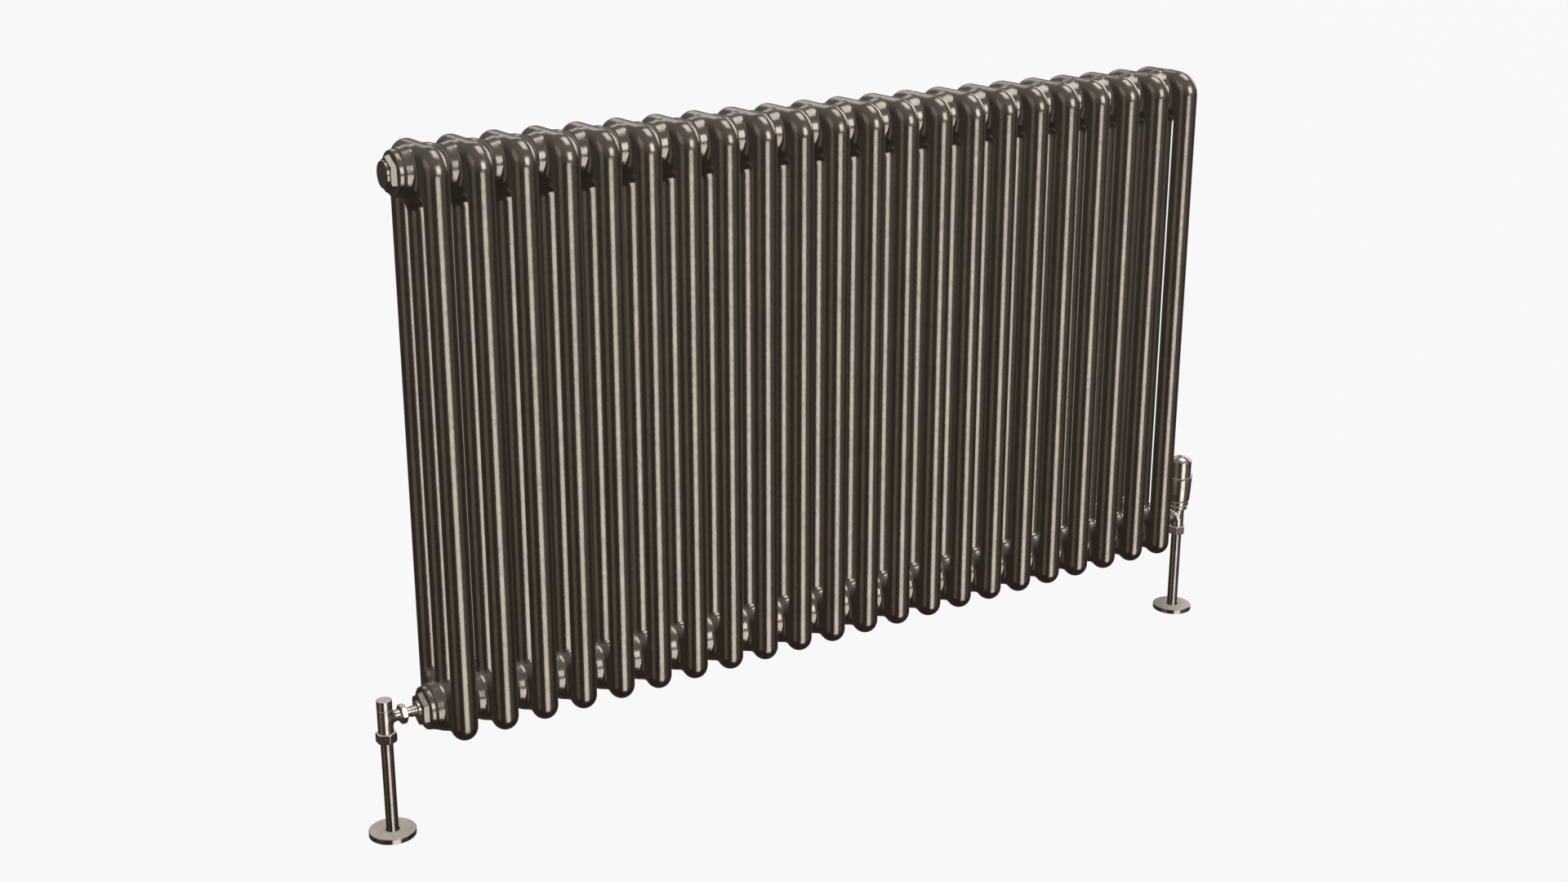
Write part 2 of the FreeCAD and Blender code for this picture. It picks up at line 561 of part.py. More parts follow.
# ---------------------------------------------------------------- wall brackets
def bracket_hole_heights():
    middle = (LOW_HUB_Z + HIGH_HUB_Z) / 2 - BRACKET_HOLE_DROP
    return [middle - BRACKET_HOLE_SPACING / 2, middle + BRACKET_HOLE_SPACING / 2]


def wall_bracket(x):
    """Wall rail with a cradle arm under the upper hubs and a stay behind the lower hubs."""
    rail_y = WALL_Y - RAIL
    low, high = LOW_HUB_Z - 16, HIGH_HUB_Z - 14
    rail = Part.makeBox(RAIL_WIDTH, RAIL, high - low, Vec(x - RAIL_WIDTH / 2, rail_y, low))
    upper = extruded([(rail_y + 1, HIGH_HUB_Z - 70), (rail_y + 1, HIGH_HUB_Z - 18),
                      (MID_Y + 30, HIGH_HUB_Z - 18), (MID_Y - 7, HIGH_HUB_Z - 18),
                      (MID_Y - 7, HIGH_HUB_Z - 33), (MID_Y + 12, HIGH_HUB_Z - 36)], ARM, x)
    lower = extruded([(rail_y + 1, LOW_HUB_Z - 16), (rail_y + 1, LOW_HUB_Z + 16),
                      (MID_Y + 15, LOW_HUB_Z + 16), (MID_Y + 15, LOW_HUB_Z - 16)], ARM, x)
    bracket = rail.multiFuse([upper, lower])
    for z in (LOW_HUB_Z, HIGH_HUB_Z):
        bracket = bracket.cut(cylinder(CRADLE_R, x - ARM, x + ARM, X_AXIS, Vec(0, MID_Y, z)))
    for z in bracket_hole_heights():
        bracket = bracket.cut(cylinder(BRACKET_HOLE_R, rail_y - 1, WALL_Y + 1, Y_AXIS, Vec(x, 0, z)))
    screw_hole = Vec(0, MID_Y + CLIP_SCREW_Y, LOW_HUB_Z + CLIP_SCREW_Z)
    return bracket.cut(cylinder(CLIP_SCREW_R + 0.1, x - ARM, x + ARM, X_AXIS, screw_hole))


def retaining_clip(x):
    """Hook over the back of the lower hubs, screwed to the bracket's stay."""
    low, high = x + ARM / 2, x + ARM / 2 + CLIP
    hub = Vec(0, MID_Y, LOW_HUB_Z)
    band = ring(CRADLE_R + CLIP_BAND, CRADLE_R, low, high, X_AXIS, hub)
    quadrant = Part.makeBox(CLIP, 60, 60, Vec(low, MID_Y - 3, LOW_HUB_Z + 2))
    tail = Part.makeBox(CLIP, 30, 12, Vec(low, MID_Y + CRADLE_R + 1, LOW_HUB_Z + 2))
    clip = band.common(quadrant).fuse(tail)
    screw_hole = Vec(0, MID_Y + CLIP_SCREW_Y, LOW_HUB_Z + CLIP_SCREW_Z)
    return clip.cut(cylinder(CLIP_SCREW_R + 0.1, low - 1, high + 1, X_AXIS, screw_hole))


def clip_screw(x):
    """Socket-head screw through the clip and the stay."""
    centre = Vec(0, MID_Y + CLIP_SCREW_Y, LOW_HUB_Z + CLIP_SCREW_Z)
    head_x = x + ARM / 2 + CLIP
    screw = cylinder(CLIP_SCREW_R, x - ARM / 2 - 2, head_x, X_AXIS, centre)
    screw = screw.fuse(cylinder(4.2, head_x, head_x + 1.7, X_AXIS, centre))
    return screw.cut(hexagon(3.0, 0, 3.0, X_AXIS, centre + X_AXIS * (head_x + 0.4)))


# ---------------------------------------------------------------- write every sub-part
def write_sections():
    casting = radiator_section()
    for index in range(SECTION_COUNT):
        section = casting.copy()
        section.translate(Vec(section_x(index), MID_Y, FLOOR_CLEARANCE))
        save("section_%02d" % (index + 1), section)
    for level, hub_z in (("lower", LOW_HUB_Z), ("upper", HIGH_HUB_Z)):
        save(level + "_joining_nipples", *joining_nipples(hub_z))
        save(level + "_joint_gaskets", *joint_gaskets(hub_z))


def write_end_fittings():
    for level, hub_z in (("lower", LOW_HUB_Z), ("upper", HIGH_HUB_Z)):
        save("right_" + level + "_bush", end_bush(hub_z))
        save("left_" + level + "_bush", mirrored(end_bush(hub_z)))
    gaskets = [bush_gasket(z) for z in (LOW_HUB_Z, HIGH_HUB_Z)]
    save("bush_gaskets", *gaskets, *[mirrored(gasket) for gasket in gaskets])
    save("blanking_plug", mirrored(bush_plug()))
    save("air_vent", air_vent())
    save("bleed_screw", bleed_screw())


def write_pairs():
    """Pieces that are the same at both valves."""
    save("left_pipe", mirrored(pipe()))
    save("right_pipe", pipe())
    pairs = {"floor_collars": floor_collar, "olives": olive, "compression_nuts": compression_nut,
             "union_nuts": union_nut, "valve_tails": valve_tail}
    for name, make in pairs.items():
        save(name, mirrored(make()), make())


def write_valves():
    left = {"lockshield_body": lockshield_body, "lockshield_headwork": lockshield_headwork,
            "lockshield_spindle": lockshield_spindle, "lockshield_plug": lockshield_plug,
            "lockshield_cap": lockshield_cap}
    right = {"trv_body": trv_body, "trv_insert": trv_insert, "trv_disc": trv_disc, "trv_pin": trv_pin,
             "trv_return_spring": trv_return_spring, "trv_head_base": trv_head_base,
             "trv_head_handle": trv_head_handle, "trv_head_cap": trv_head_cap, "trv_sensor": trv_sensor}
    for name, make in left.items():
        save(name, mirrored(make()))
    for name, make in right.items():
        save(name, make())


def write_brackets():
    places = (-BRACKET_X, BRACKET_X)
    save("wall_brackets", *[wall_bracket(x) for x in places])
    save("retaining_clips", *[retaining_clip(x) for x in places])
    save("clip_screws", *[clip_screw(x) for x in places])


os.makedirs("parts", exist_ok=True)
write_sections()
write_end_fittings()
write_pairs()
write_valves()
write_brackets()
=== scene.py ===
import json
import math

import bpy
import numpy as np
from mathutils import Matrix, Vector

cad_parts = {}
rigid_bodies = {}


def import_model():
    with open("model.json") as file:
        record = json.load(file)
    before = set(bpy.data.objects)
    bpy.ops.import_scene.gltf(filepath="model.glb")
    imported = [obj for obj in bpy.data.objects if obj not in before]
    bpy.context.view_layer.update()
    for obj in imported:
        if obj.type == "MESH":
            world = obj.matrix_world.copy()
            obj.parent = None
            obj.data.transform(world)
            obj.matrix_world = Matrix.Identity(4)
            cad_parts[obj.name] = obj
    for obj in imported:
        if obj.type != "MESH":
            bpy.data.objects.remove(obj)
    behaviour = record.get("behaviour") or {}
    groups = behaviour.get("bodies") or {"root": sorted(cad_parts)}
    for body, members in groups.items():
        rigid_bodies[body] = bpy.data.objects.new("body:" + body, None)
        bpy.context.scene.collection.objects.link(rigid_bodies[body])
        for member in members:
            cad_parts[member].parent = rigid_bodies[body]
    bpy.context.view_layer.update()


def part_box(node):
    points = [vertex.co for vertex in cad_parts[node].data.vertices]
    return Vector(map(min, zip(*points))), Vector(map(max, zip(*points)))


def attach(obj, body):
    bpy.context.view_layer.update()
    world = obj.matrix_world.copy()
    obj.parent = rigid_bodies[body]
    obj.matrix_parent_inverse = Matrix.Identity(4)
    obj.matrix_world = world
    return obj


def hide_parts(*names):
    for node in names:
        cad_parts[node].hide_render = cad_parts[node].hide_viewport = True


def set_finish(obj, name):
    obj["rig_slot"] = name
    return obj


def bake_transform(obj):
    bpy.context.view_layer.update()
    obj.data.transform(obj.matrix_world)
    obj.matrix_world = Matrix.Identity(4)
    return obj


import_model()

MM = 0.001
UP = Vector((0, 0, 1))
RIGHT = Vector((1, 0, 0))
LEFT = Vector((-1, 0, 0))

# ---------------------------------------------------------------- sizes in millimetres
SECTIONS = 22
COLUMN_SPACING = 38.5
COLUMN_R = 12.75
SHOULDER_R = 27.0             # front and rear top corners of a section
FOOT_R = 16.5                 # rounded foot of the outer columns
FOOT_SWEEP = math.radians(30)
VALLEY = 5.0                  # lower edge between the feet
SLOT_END = 52.5
HUB_INSET = 27.5
HUB_R = 26.0                  # where the hub leaves the columns
HUB_TAPER = math.radians(16)
HUB_LENGTH = 44.4
HUB_EDGE = 1.3                # rounding of the hub's rim
HUB_FILLETS = (1.0, 3.0, 12.0)          # between hub and columns: above, beside and below the hub
GASKET_R = 22.9               # bottom of the groove between two hubs
GASKET_BORE_R = 17.4

FLANGE_R = 23.0
FLANGE = 4.8
BUSH_HEX = 32.0
BUSH_HEX_LENGTH = 6.0
BUSH_TAPER = math.tan(math.radians(12))
BUSH_SHANK = 14.0
BUSH_BORE_R = 10.3
PLUG_R = 13.5
PLUG_HEAD = 2.6

BARREL_R = 7.9
BRANCH_R = 5.8
BRANCH_FLARE = 3.2            # fillet from branch to barrel
BRANCH_END = 15.1             # from the valve axis
PORT_R = 3.8
SOCKET_R = 6.4
PIPE_NUT_HEX = 19.0
PIPE_NUT_LENGTH = 10.0
# direction of one corner of each compression nut, from +X
PIPE_NUT_TURNS = {"left": math.radians(-90), "right": math.radians(-135)}
UNION_HEX = 18.0
UNION_LENGTH = 6.0
UNION_START = 15.5            # nut face, from the valve axis
UNION_TURN = math.radians(30)
PIPE_R = 6.35
PIPE_BORE_R = 5.65
TAIL_R = 4.9
COLLAR_R = 24.1
COLLAR_HEIGHT = 5.5
COLLAR_BORE_R = 7.1
TRV_CAP_R = 13.3
TRV_DOME_RISE = 6.2
TAB_ANGLE = math.radians(-58)           # from +X
SPRING_R = 2.9                # middle of the wire, from the valve axis
SPRING_WIRE_R = 0.35
SPRING_PITCH = 1.6
BLEED_HEAD = 5.0
LIGHT_DISTANCE = 20.0         # metres

# ---------------------------------------------------------------- places, all read from the frame
section_low, section_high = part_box("section_01")
SECTION_HEIGHT = (section_high.z - section_low.z) / MM
SECTION_DEPTH = (section_high.y - section_low.y) / MM
MID_Y = (section_low.y + section_high.y) / 2
LOW_HUB = section_low.z + HUB_INSET * MM
HIGH_HUB = section_high.z - HUB_INSET * MM


def centre(node):
    low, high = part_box(node)
    return (low + high) / 2


# ---------------------------------------------------------------- signed distances
def round_union(a, b, radius):
    """Both shapes, with a fillet of that radius where they meet."""
    corner = np.hypot(np.maximum(radius - a, 0), np.maximum(radius - b, 0))
    return np.maximum(radius, np.minimum(a, b)) - corner


def round_cut(a, b, radius):
    """What both shapes share, with its edges rounded."""
    corner = np.hypot(np.maximum(radius + a, 0), np.maximum(radius + b, 0))
    return np.minimum(-radius, np.maximum(a, b)) + corner


def bar(outline, along, low, high, rounding):
    """A straight bar from low to high with rounded end edges.

    outline is the distance to its cross-section.
    """
    return round_cut(outline, np.abs(along - (low + high) / 2) - (high - low) / 2, rounding)


def hexagon(points, across_flats, turn, corner):
    """Distance to a hexagon about the z axis, one corner in the direction turn, corners rounded."""
    around = np.arctan2(points[..., 1], points[..., 0]) - turn
    from_middle = around % (math.pi / 3) - math.pi / 6
    radius = np.hypot(points[..., 0], points[..., 1])
    inner = across_flats / 2 - corner
    out = radius * np.cos(from_middle) - inner
    side = np.abs(radius * np.sin(from_middle)) - inner * math.tan(math.pi / 6)
    return np.where(side > 0, np.hypot(np.maximum(out, 0), side), out) - corner


def facing(points, flat_r, low, high):
    """The two 30 degree cones that take the corners off a nut."""
    radius = np.hypot(points[..., 0], points[..., 1])
    rise = np.abs(points[..., 2] - (low + high) / 2) - (high - low) / 2
    return (rise + (radius - flat_r) * math.tan(math.radians(30))) * math.cos(math.radians(30))


# ---------------------------------------------------------------- meshes
def placed(origin, axis):
    """Turns local z onto axis, at origin, and millimetres into metres."""
    turn = UP.rotation_difference(Vector(axis)).to_matrix().to_4x4()
    if axis == LEFT or axis == RIGHT:
        turn = Matrix.Rotation(math.radians(90 * axis.x), 4, "Y")
    return Matrix.Translation(origin) @ turn @ Matrix.Scale(MM, 4)


def mesh_of(name, points, normals, faces):
    """A smooth mesh with exact normals, all in local millimetres."""
    mesh = bpy.data.meshes.new(name)
    mesh.from_pydata((points * MM).tolist(), [], faces)
    mesh.shade_smooth()
    mesh.normals_split_custom_set_from_vertices(normals.tolist())
    return mesh


def shared(axis, low_end, high_end):
    """Slices over the three grid directions, one end cut off across axis."""
    cut = [slice(None)] * 3
    cut[axis] = slice(low_end, high_end)
    return tuple(cut)


def net(name, field, planes):
    """Meshes the surface where field is zero, on a grid with the given x, y and z planes."""
    grid = np.stack(np.meshgrid(*[np.asarray(p, float) for p in planes], indexing="ij"), -1)
    value = field(grid)
    inside = value < 0
    cells = tuple(n - 1 for n in value.shape)
    total = np.zeros(cells + (3,))
    count = np.zeros(cells)
    crossings = []
    for axis in range(3):
        first, second = shared(axis, None, -1), shared(axis, 1, None)
        crossed = inside[first] != inside[second]
        share = value[first] / np.where(crossed, value[first] - value[second], 1)
        spot = grid[first] + share[..., None] * (grid[second] - grid[first])
        across = [a for a in range(3) if a != axis]
        for shift_a in (0, 1):
            for shift_b in (0, 1):
                part = [slice(None)] * 3
                part[across[0]] = slice(shift_a, crossed.shape[across[0]] - 1 + shift_a)
                part[across[1]] = slice(shift_b, crossed.shape[across[1]] - 1 + shift_b)
                hit = crossed[tuple(part)]
                count += hit
                total += np.where(hit[..., None], spot[tuple(part)], 0)
        crossings.append((crossed, inside[first]))
    used = count > 0
    number = np.full(cells, -1)
    number[used] = np.arange(used.sum())
    points = total[used] / count[used][:, None]
    faces = []
    for axis, (crossed, start_inside) in enumerate(crossings):
        a, b = [(1, 2), (2, 0), (0, 1)][axis]
        index = np.argwhere(crossed)
        keep = (index[:, a] > 0) & (index[:, b] > 0)
        keep &= (index[:, a] < value.shape[a] - 1) & (index[:, b] < value.shape[b] - 1)
        index = index[keep]
        corners = []
        for shift in ((-1, -1), (0, -1), (0, 0), (-1, 0)):
            cell = index.copy()
            cell[:, a] += shift[0]
            cell[:, b] += shift[1]
            corners.append(number[tuple(cell.T)])
        quads = np.stack(corners, 1)
        outward = start_inside[tuple(index.T)]
        quads[~outward] = quads[~outward][:, ::-1]
        faces += quads.tolist()
    for _ in range(4):
        slope = gradient(field, points)
        length = np.maximum((slope ** 2).sum(-1, keepdims=True), 0.05)
        points = points - np.clip(field(points)[:, None] * slope / length, -0.5, 0.5)
    normals = gradient(field, points)
    normals /= np.maximum(np.linalg.norm(normals, axis=-1, keepdims=True), 1e-9)
    return mesh_of(name, points, normals, faces)


def gradient(field, points):
    step = 0.01
    parts = []
    for axis in range(3):
        move = np.zeros(3)
        move[axis] = step
        parts.append((field(points + move) - field(points - move)) / (2 * step))
    return np.stack(parts, -1)


def steps(low, high, size):
    """Evenly spaced planes about size apart, one beyond each end."""
    count = max(2, round((high - low) / size))
    return np.linspace(low - size, high + size, count + 3)


def outline(corners, closed):
    """Rounds the corners of an (r, z) outline. Corners are (r, z, rounding); gives points and normals."""
    count = len(corners)
    found = []
    for index, (r, z, rounding) in enumerate(corners):
        here = np.array((r, z), float)
        if not closed and index in (0, count - 1):
            other = np.array(corners[1 if index == 0 else count - 2][:2], float)
            run = other - here if index == 0 else here - other
            run /= np.linalg.norm(run)
            found.append((here, np.array((run[1], -run[0]))))
            continue
        into = here - np.array(corners[index - 1][:2], float)
        away = np.array(corners[(index + 1) % count][:2], float) - here
        into_length, away_length = np.linalg.norm(into), np.linalg.norm(away)
        into, away = into / into_length, away / away_length
        turn = math.atan2(into[0] * away[1] - into[1] * away[0], into @ away)
        trim = min(rounding * math.tan(abs(turn) / 2), 0.46 * into_length, 0.46 * away_length)
        radius = trim / math.tan(abs(turn) / 2)
        side = math.copysign(1.0, turn)
        middle = here - into * trim + radius * side * np.array((-into[1], into[0]))
        start = math.atan2(-into[0] * side, into[1] * side)
        pieces = max(2, math.ceil(abs(turn) / math.radians(14)))
        for piece in range(pieces + 1):
            angle = start + turn * piece / pieces
            spoke = np.array((math.cos(angle), math.sin(angle)))
            found.append((middle + radius * spoke, side * spoke))
    points = np.array([point for point, _ in found])
    normals = np.array([normal for _, normal in found])
    return points, normals


def lathe(name, corners, closed=False, segments=96):
    """Turns an outline about local z. The outline has the solid on its left."""
    line, facing_out = outline(corners, closed)
    points, normals, rings = [], [], []
    angles = [2 * math.pi * k / segments for k in range(segments)]
    for (r, z), (nr, nz) in zip(line, facing_out):
        if r < 1e-6:
            rings.append([len(points)] * segments)
            points.append((0, 0, z))
            normals.append((0, 0, math.copysign(1.0, nz)))
            continue
        rings.append(list(range(len(points), len(points) + segments)))
        points += [(r * math.cos(a), r * math.sin(a), z) for a in angles]
        normals += [(nr * math.cos(a), nr * math.sin(a), nz) for a in angles]
    faces = []
    pairs = list(zip(rings, rings[1:]))
    if closed:
        pairs.append((rings[-1], rings[0]))
    for lower, upper in pairs:
        for k in range(segments):
            after = (k + 1) % segments
            face = [lower[k], lower[after], upper[after], upper[k]]
            face = [v for i, v in enumerate(face) if v != face[i - 1]]
            if len(face) > 2:
                faces.append(face)
    return mesh_of(name, np.array(points), np.array(normals), faces)


def stand_in(name, mesh, origin, axis, slot_name, *nodes):
    """Puts a mesh in place, standing for its CAD nodes."""
    thing = bpy.data.objects.new(name, mesh)
    bpy.context.scene.collection.objects.link(thing)
    turn = placed(origin, axis)
    thing.matrix_world = turn @ Matrix.Scale(1 / MM, 4)
    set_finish(thing, slot_name)
    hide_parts(*nodes)
    return thing


def piece(name, mesh, origin, axis, body, slot_name, *nodes):
    """Puts a mesh in place, riding on its body and standing for its CAD nodes."""
    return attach(stand_in(name, mesh, origin, axis, slot_name, *nodes), body)


# ---------------------------------------------------------------- radiator sections
def section_depth_inside(y, z):
    """How far a point of the section's middle plane lies inside its outline."""
    y = np.abs(y)
    half = SECTION_DEPTH / 2
    shoulder_y, shoulder_z = half - SHOULDER_R, SECTION_HEIGHT - SHOULDER_R
    top = np.minimum(half - y, SECTION_HEIGHT - z)
    in_shoulder = (y > shoulder_y) & (z > shoulder_z)
    top = np.where(in_shoulder, SHOULDER_R - np.hypot(y - shoulder_y, z - shoulder_z), top)

    foot_y = half - FOOT_R
    foot_end = FOOT_R * (1 - math.cos(FOOT_SWEEP))
    valley_r = (VALLEY - foot_end) / (1 - math.cos(FOOT_SWEEP))
    valley_y = foot_y - (FOOT_R + valley_r) * math.sin(FOOT_SWEEP)
    valley = np.where(y > valley_y, np.hypot(y - valley_y, z - VALLEY + valley_r) - valley_r, z - VALLEY)
    beyond_line = (y - foot_y) * math.cos(FOOT_SWEEP) - (z - FOOT_R) * math.sin(FOOT_SWEEP) > 0
    foot = FOOT_R - np.hypot(y - foot_y, z - FOOT_R)
    low = np.where(beyond_line & (z < FOOT_R), np.where(y > foot_y, foot, np.minimum(foot, FOOT_R)), valley)
    low = np.where((z >= FOOT_R) & (y > foot_y), half - y, low)

    slot_r = (COLUMN_SPACING - 2 * COLUMN_R) / 2
    end = SLOT_END + slot_r
    beyond = z - np.clip(z, end, SECTION_HEIGHT - end)
    slot_gap = np.hypot(y - COLUMN_SPACING / 2, beyond) - slot_r
    return np.minimum(np.minimum(top, low), slot_gap)


def section_field(points):
    x, y, z = points[..., 0], points[..., 1], points[..., 2]
    plate = round_cut(-section_depth_inside(y, z), np.abs(x) - COLUMN_R, COLUMN_R)
    axis_z = np.where(z < SECTION_HEIGHT / 2, HUB_INSET, SECTION_HEIGHT - HUB_INSET)
    beyond_columns = np.maximum(np.abs(x) - COLUMN_R, 0)
    cone = (np.hypot(y, z - axis_z) - HUB_R) * math.cos(HUB_TAPER) + beyond_columns * math.sin(HUB_TAPER)
    hub = bar(cone, x, -HUB_LENGTH / 2, HUB_LENGTH / 2, HUB_EDGE)
    fillet = np.interp((axis_z - z) / HUB_R, (-1, 0, 1), HUB_FILLETS)
    return round_union(plate, hub, fillet)


def section_mesh():
    """One section, its foot at z 0; its planes lie close at the ends and far apart along the columns."""
    end_x = np.concatenate([np.arange(0.85, 20, 1.7), [20.6, 21.2, 21.7, 22.0, 22.15, 22.6]])
    planes_x = np.concatenate([-end_x[::-1], end_x])
    planes_y = steps(-SECTION_DEPTH / 2, SECTION_DEPTH / 2, 1.7)
    ends = np.arange(-1.7, SLOT_END + 16, 1.7)
    middle = np.linspace(ends[-1], SECTION_HEIGHT - ends[-1], 14)[1:-1]
    planes_z = np.concatenate([ends, middle, SECTION_HEIGHT - ends[::-1]])
    return net("casting", section_field, (planes_x, planes_y, planes_z))


def build_sections():
    mesh = section_mesh()
    for number in range(1, SECTIONS + 1):
        node = "section_%02d" % number
        spot = centre(node)
        piece("casting_%02d" % number, mesh, Vector((spot.x, MID_Y, section_low.z)), UP,
              "radiator", "lacquered_iron", node)


def build_joint_gaskets():
    """A thin ring at the bottom of the groove between neighbouring hubs."""
    middles = [centre("section_%02d" % number).x for number in range(1, SECTIONS + 1)]
    half = ((middles[1] - middles[0]) / MM - HUB_LENGTH) / 2
    corners = [(GASKET_BORE_R, -half, 0.05), (GASKET_R, -half, 0.1), (GASKET_R, half, 0.1),
               (GASKET_BORE_R, half, 0.05)]
    ring = lathe("joint_gasket", corners, True)
    for number, (left_x, right_x) in enumerate(zip(middles, middles[1:]), 1):
        for level, hub_z in (("lower", LOW_HUB), ("upper", HIGH_HUB)):
            spot = Vector(((left_x + right_x) / 2, MID_Y, hub_z))
            piece("%s_gasket_%02d" % (level, number), ring, spot, RIGHT, "radiator", "fibre_gasket",
                  level + "_joint_gaskets")


# ---------------------------------------------------------------- end bushes, plug and vent
def bush_mesh():
    """Local z 0 is the flange's inner face."""
    hex_end = FLANGE + BUSH_HEX_LENGTH

    def field(points):
        radius = np.hypot(points[..., 0], points[..., 1])
        z = points[..., 2]
        flange = bar(radius - FLANGE_R + BUSH_TAPER * z, z, 0, FLANGE, 0.9)
        flats = bar(hexagon(points, BUSH_HEX, 0, 0.7) + BUSH_TAPER * (z - FLANGE), z, 0, hex_end, 0.5)
        head = round_cut(flats, facing(points, BUSH_HEX / 2, -hex_end, hex_end), 0.4)
        shank = bar(radius - 16.5, z, -BUSH_SHANK, FLANGE, 0.5)
        body = np.minimum(round_union(flange, head, 0.5), shank)
        return round_cut(body, BUSH_BORE_R - radius, 0.3)

    span = steps(-FLANGE_R, FLANGE_R, 0.55)
    along = np.concatenate([np.arange(-15, 0, 2.0), np.arange(0, 11.6, 0.45)])
    return net("bush", field, (span, span, along))


def build_bushes():
    mesh = bush_mesh()
    for side, axis in (("left", LEFT), ("right", RIGHT)):
        for level, hub_z in (("lower", LOW_HUB), ("upper", HIGH_HUB)):
            node = side + "_" + level + "_bush"
            low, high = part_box(node)
            outer = low.x if side == "left" else high.x
            face_x = outer - axis.x * (FLANGE + BUSH_HEX_LENGTH) * MM
            piece("bush_" + side + "_" + level, mesh, Vector((face_x, MID_Y, hub_z)), axis,
                  "radiator", "lacquered_iron", node)


def plug_corners(nose):
    """Plug head whose back face is at local z 0, with a shank into the bush."""
    rim_r = PLUG_R - BUSH_TAPER * PLUG_HEAD
    head = [(0, -12, 0), (BUSH_BORE_R - 0.2, -12, 0.5), (BUSH_BORE_R - 0.2, 0, 0.2), (PLUG_R, 0, 0.3),
            (rim_r, PLUG_HEAD, 0.4)]
    if not nose:
        return head + [(0, PLUG_HEAD, 0)]
    return head + [(6.0, PLUG_HEAD, 0.4), (6.0, PLUG_HEAD + 2.0, 0.5), (2.55, PLUG_HEAD + 2.0, 0.3),
                   (2.55, PLUG_HEAD - 7.5, 0.2), (0, PLUG_HEAD - 7.5, 0)]


def build_plugs():
    plug_low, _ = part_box("blanking_plug")
    spot = Vector((plug_low.x + PLUG_HEAD * MM, MID_Y, HIGH_HUB))
    piece("top_plug", lathe("plug", plug_corners(False)), spot, LEFT, "radiator", "lacquered_iron",
          "blanking_plug")
    _, vent_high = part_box("air_vent")
    spot = Vector((vent_high.x - (PLUG_HEAD + 2.0) * MM, MID_Y, HIGH_HUB))
    piece("vent_plug", lathe("vent", plug_corners(True)), spot, RIGHT, "radiator", "lacquered_iron",
          "air_vent")
    _, screw_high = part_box("bleed_screw")
    piece("bleed_key_screw", bleed_mesh(), Vector((screw_high.x, MID_Y, HIGH_HUB)), RIGHT, "bleed_screw",
          "bare_brass", "bleed_screw")


def bleed_mesh():
    """Round shank and square head, whose end is at local z 0."""
    half = BLEED_HEAD / 2

    def field(points):
        x, y, z = points[..., 0], points[..., 1], points[..., 2]
        square = round_cut(np.abs(x) - half, np.abs(y) - half, 0.5)
        head = bar(square, z, -3.5, 0, 0.4)
        shank = bar(np.hypot(x, y) - 2.45, z, -12.5, -1, 0.4)
        return round_union(head, shank, 0.2)

    span = steps(-half, half, 0.3)
    return net("bleed", field, (span, span, steps(-12.5, 0, 0.3)))


# ---------------------------------------------------------------- valves
def body_mesh(name, low, top, chamber_r, seat):
    """Angle body about the valve axis: z 0 at the hub's height, the branch along +x."""
    def field(points):
        x, y, z = points[..., 0], points[..., 1], points[..., 2]
        radius = np.hypot(x, y)
        across = np.hypot(y, z)
        barrel = bar(radius - BARREL_R, z, low, top, 0.35)
        branch = bar(across - BRANCH_R, x, 0, BRANCH_END, 0.4)
        body = round_union(barrel, branch, BRANCH_FLARE)
        body = np.maximum(body, -bar(radius - chamber_r, z, seat, top + 5, 0.2))
        body = np.maximum(body, -bar(radius - SOCKET_R, z, low - 5, low + 3.4, 0.2))
        return np.maximum(body, -bar(across - PORT_R, x, 0, BRANCH_END + 5, 0.2))

    span = np.arange(-8.5, 16.2, 0.42)
    return net(name, field, (span, np.arange(-8.5, 8.9, 0.42), steps(low, top, 0.42)))


def nut_mesh(name, across_flats, length, turn, bore_r):
    """Hexagon nut from local z 0 to length, corners taken off at both faces."""
    def field(points):
        z = points[..., 2]
        radius = np.hypot(points[..., 0], points[..., 1])
        flats = bar(hexagon(points, across_flats, turn, 0.45), z, 0, length, 0.3)
        body = round_cut(flats, facing(points, across_flats / 2 + 0.1, 0, length), 0.3)
        return round_cut(body, bore_r - radius, 0.25)

    reach = across_flats / math.sqrt(3)
    span = steps(-reach, reach, 0.4)
    return net(name, field, (span, span, steps(0, length, 0.4)))


def tail_corners(start, length):
    """Tube from inside the union nut to the bush, with two rings and a collar, along local z."""
    return [(PORT_R, start, 0.2), (TAIL_R, start, 0.3), (TAIL_R, length - 8.0, 0.15), (5.7, length - 8.0, 0.4),
            (5.7, length - 5.6, 0.4), (TAIL_R, length - 5.6, 0.15), (TAIL_R, length - 4.6, 0.15),
            (5.7, length - 4.6, 0.4), (5.7, length - 2.6, 0.2), (9.0, length - 2.6, 0.7),
            (9.0, length, 0.2), (10.1, length, 0.1), (10.1, length + 11, 0.3), (PORT_R, length + 11, 0.3)]


def valve_spot(side, z):
    return Vector((centre(side + "_pipe").x, MID_Y, z))


